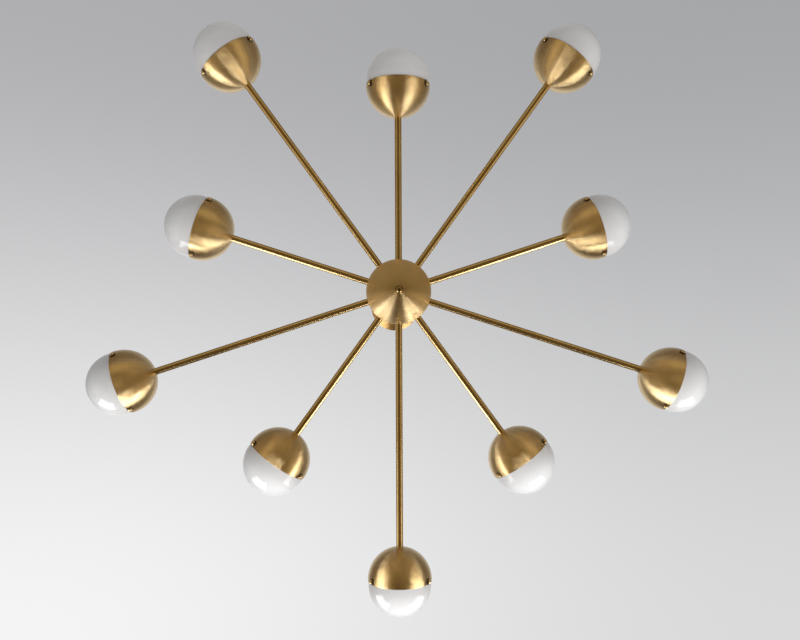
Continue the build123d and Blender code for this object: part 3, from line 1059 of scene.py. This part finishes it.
plug_outline = [(0, plug_start), (plug_radius, plug_start), (plug_radius, plug_end), (0, plug_end)]
plug = seed_along_x("plug", plug_outline, 64)
plugs = star("notch_plugs", satin, plug, plug)
upright = Matrix.Translation(hub_centre)
upside_down = upright @ Matrix.Rotation(math.pi, 4, "X")
for name, land, hole, place in (
    ("hub_upper_shell", upper_land, tube_radius + air, upright),
    ("hub_lower_shell", lower_land, rod_radius + thread_air, upside_down),
):
    shell = turned("brass_" + name, hub_outline(land, hole), place)
    cut = shell.modifiers.new("notches", "BOOLEAN")
    cut.operation = "DIFFERENCE"
    cut.solver = "EXACT"
    cut.object = plugs
    baked(shell)
    mark_sharp(shell.data)
    dress(shell, hub_satin, "fixture", "satin_brass", name)
    print(shell.name, "has", len(shell.data.polygons), "faces after its notches are cut")
forget(plug, plugs)

# %% [markdown]
# The finial is a ball that screws onto the centre rod and holds the lower half up. A small flat at
# its top sits on the flat land of the shell.

# %% Finial
finial_radius = 7.5 * mm
foot = math.sqrt(hub_radius**2 - lower_land**2)
ball_centre = foot + math.sqrt(finial_radius**2 - lower_land**2)
contact = math.degrees(math.asin(lower_land / finial_radius))
finial_outline = [(0, -foot)] + arc(-ball_centre, finial_radius, contact, 180, 32)
finial = turned("finial_ball", finial_outline, upright, sides=64)
dress(finial, darkened_finial_brass, "fixture", "polished_brass", "finial")
print("finial:", round(2 * finial_radius / mm), "mm across")

# %% [markdown]
# ## Down rod and canopy
# A tube as thick as the arms hangs the hub from its swivel. It's a plain tube, so four points are
# enough for its outline.

# %% Down rod
stem_low, stem_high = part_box("stem")
bore = tube_radius - tube_wall
foot, head = stem_low.z, stem_high.z
stem_outline = [(bore, foot), (tube_radius, foot), (tube_radius, head), (bore, head)]
stem = turned("down_rod", stem_outline, sides=64)
dress(stem, tube_satin, "fixture", "satin_brass", "stem")
print("down rod", round((head - foot) / mm), "mm long")

# %% [markdown]
# The canopy covers the ceiling box. It is a shallow spun dish with a straight rim, and a flat round
# its centre hole for the ring nut. The dome is part of a large ball, whose centre follows from the
# rim and the flat. It stops a degree or so short of the rim, to leave room for the rounded brow.

# %% Canopy
canopy_low, canopy_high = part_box("canopy")
canopy_radius = (canopy_high.x - canopy_low.x) / 2
canopy_height = canopy_high.z - canopy_low.z
canopy_rim = 5.0 * mm
canopy_wall = 1.0 * mm
canopy_land = 12.0 * mm
nipple_radius = 5.0 * mm
canopy_hole = nipple_radius + thread_air
brow_room, inner_brow_room = 1.5, 0.6


def canopy_outline():
    rise = canopy_height - canopy_rim
    centre = ((canopy_radius**2 - canopy_land**2) / rise - canopy_height - canopy_rim) / 2
    outer = math.hypot(canopy_radius, canopy_rim + centre)
    inner = outer - canopy_wall
    inside = canopy_radius - canopy_wall
    floor_height = canopy_wall - canopy_height
    inner_land = math.sqrt(inner**2 - (centre - floor_height) ** 2)
    brow = math.degrees(math.asin(canopy_radius / outer))
    land_angle = math.degrees(math.asin(canopy_land / outer))
    inner_land_angle = math.degrees(math.asin(inner_land / inner))
    dome = arc(centre, outer, 180 - brow + brow_room, 180 - land_angle, 40)
    under = arc(centre, inner, 180 - inner_land_angle, 180 - brow + inner_brow_room, 40)
    points = rounded((canopy_radius, 0), (inside, 0), (canopy_radius, -canopy_rim), 0.4 * mm)
    points += rounded((canopy_radius, -canopy_rim), (canopy_radius, 0), dome[0], 1.5 * mm)
    points += dome + [(canopy_hole, -canopy_height), (canopy_hole, floor_height)]
    return points + under + [(inside, under[-1][1]), (inside, 0)]


canopy = turned("brass_canopy", canopy_outline(), sides=160)
dress(canopy, canopy_satin, "ceiling_plate", "satin_brass", "canopy")
print("canopy", round(2 * canopy_radius / mm), "mm across,", len(canopy.data.polygons), "faces")

# %% [markdown]
# ## The studio
# Two nearly square soft lamps stand on the +Y side, about level with the light, with a dark gap
# between them. Each is a pair: a weak lamp that lights everything, and a strong core in front of it
# that only shiny surfaces see. So the brass gets its bright wedges while the white glass stays below
# pure white. Two wide fills, which no shiny surface sees, shape the globes: one low on the lamps'
# side, and a weaker one across from it.


# %% Lamps
LAMP_HEIGHT, LAMP_DISTANCE, CORE_DISTANCE = -0.1, 2.4, 2.35
LAMP_WIDTH, LAMP_TALL = 1.25, 1.2
LAMP_POWER, CORE_POWER = 5, 34
FILL_WIDTH, FILL_TALL = 4.2, 1.2


def soft_lamp(name, azimuth, height, distance, width, tall, power):
    """A rectangular area lamp that faces the hub. Azimuth is measured from +Y towards +X."""
    angle = math.radians(azimuth)
    place = hub_centre + Vector((math.sin(angle) * distance, math.cos(angle) * distance, height))
    data = bpy.data.lights.new(name, "AREA")
    data.shape = "RECTANGLE"
    data.size = width
    data.size_y = tall
    data.energy = power
    lamp = bpy.data.objects.new(name, data)
    bpy.context.collection.objects.link(lamp)
    lamp.location = place
    lamp.rotation_euler = (hub_centre - place).to_track_quat("-Z", "Y").to_euler()
    return lamp


for side, azimuth in (("right", 34), ("left", -38)):
    soft_lamp(f"lamp_{side}", azimuth, LAMP_HEIGHT, LAMP_DISTANCE, LAMP_WIDTH, LAMP_TALL, LAMP_POWER)
    core = soft_lamp(f"core_{side}", azimuth, LAMP_HEIGHT, CORE_DISTANCE, LAMP_WIDTH, LAMP_TALL, CORE_POWER)
    core.visible_diffuse = False
for name, azimuth, height, distance, power in (("fill", 12, -1.6, 1.5, 62), ("far_fill", 180, -0.1, 2.2, 17)):
    fill = soft_lamp(name, azimuth, height, distance, FILL_WIDTH, FILL_TALL, power)
    fill.visible_glossy = False

# %% [markdown]
# The room is painted on the world by direction, and it is three rooms in one. The picture shows the
# ceiling: brightest near the lamps, grey on the far side. White glass and other matt surfaces get
# plain light, pale from above and dim from below. Shiny surfaces mirror a third room: a floor of
# warm wood colour that the brass shows as brown, a dim patch straight below, panels to the left and
# right that grow brighter towards the lamps, a dark gap between the lamps, and the ceiling overhead.

# %% What the picture and the matt surfaces see
world = bpy.data.worlds.new("studio")
bpy.context.scene.world = world
world.use_nodes = True
room = Web(world.node_tree)
to_right, to_lamps, upward = room.parts(room.add("ShaderNodeTexCoord", out="Generated"))
rays = ("Is Camera Ray", "Is Glossy Ray", "Is Transmission Ray")
is_camera, is_glossy, is_through = room.add("ShaderNodeLightPath", out=rays)
rightness = to_right.eased(-0.45, 0.45)
far_side = room.mix(rightness, (0.425, 0.425, 0.44, 1), (0.38, 0.385, 0.395, 1))
lamp_side = room.mix(rightness, (0.91, 0.91, 0.91, 1), (0.70, 0.70, 0.705, 1))
ceiling = room.mix(to_lamps.eased(-0.40, 0.34), far_side, lamp_side)
walls = room.mix(upward.eased(-0.3, 0.25), (0.15, 0.15, 0.15, 1), (0.82, 0.82, 0.825, 1))
print("ceiling and walls painted with", len(world.node_tree.nodes), "nodes")

# %% What the shiny surfaces mirror
warm_floor = room.mix(to_lamps.eased(0.0, 0.5), (0.68, 0.55, 0.33, 1), (0.38, 0.275, 0.14, 1))
dim_room = room.mix(upward.eased(-0.85, -0.5), (0.13, 0.09, 0.035, 1), warm_floor)
mirrored = room.mix(upward.eased(-0.6, 0.0), dim_room, (0.19, 0.155, 0.12, 1))
sideways = to_right.math("ABSOLUTE").eased(0.7, 0.95)
side_panels = sideways * upward.eased(-0.75, -0.45) * (1 - upward.eased(-0.2, 0.05))
side_tone = room.mix(to_lamps.eased(-0.05, 0.25), (0.28, 0.22, 0.13, 1), (1.25, 1.03, 0.72, 1))
mirrored = room.mix(side_panels, mirrored, side_tone)
off_centre = (to_right + 0.05).math("ABSOLUTE")
between_lamps = (1 - off_centre.eased(0.14, 0.40)) * to_lamps.eased(0.2, 0.7)
mirrored = room.mix(between_lamps, mirrored, (0.05, 0.035, 0.02, 1))
mirrored = room.mix(upward.eased(0.6, 0.95), mirrored, ceiling)
unseen = room.mix(is_glossy, walls, mirrored)
seen = room.mix(is_camera.math("MAXIMUM", is_through), unseen, ceiling)
room.feed(world.node_tree.nodes["Background"].inputs["Color"], seen)
print("the whole room painted with", len(world.node_tree.nodes), "nodes")

# %% [markdown]
# The floor lies a full room's height below the ceiling, out of the photograph's view. It is a plain
# matt grey that sends a little light back up at the globes. Shiny surfaces look past it, at the
# warmer floor of the painted room.

# %% Floor
floor_mesh = bpy.data.meshes.new("floor")
half_width, floor_height = 6.0, -3.4
corner_signs = ((-1, -1), (1, -1), (1, 1), (-1, 1))
floor_corners = [(x * half_width, y * half_width, floor_height) for x, y in corner_signs]
floor_mesh.from_pydata(floor_corners, [], [(0, 1, 2, 3)])
floor = new_mesh_object("floor", floor_mesh)
floor.visible_glossy = False
grey_floor = Finish("pale_floor")
speckle = grey_floor.noise(grey_floor.place(), 30.0, detail=4.0)
grey = grey_floor.mix(speckle, (0.22, 0.215, 0.21, 1), (0.26, 0.255, 0.25, 1))
grey_floor.surface(Base_Color=grey, Roughness=0.8)
floor.data.materials.append(grey_floor.material)
print("floor", round(hub_height - floor_height, 2), "m below the hub")
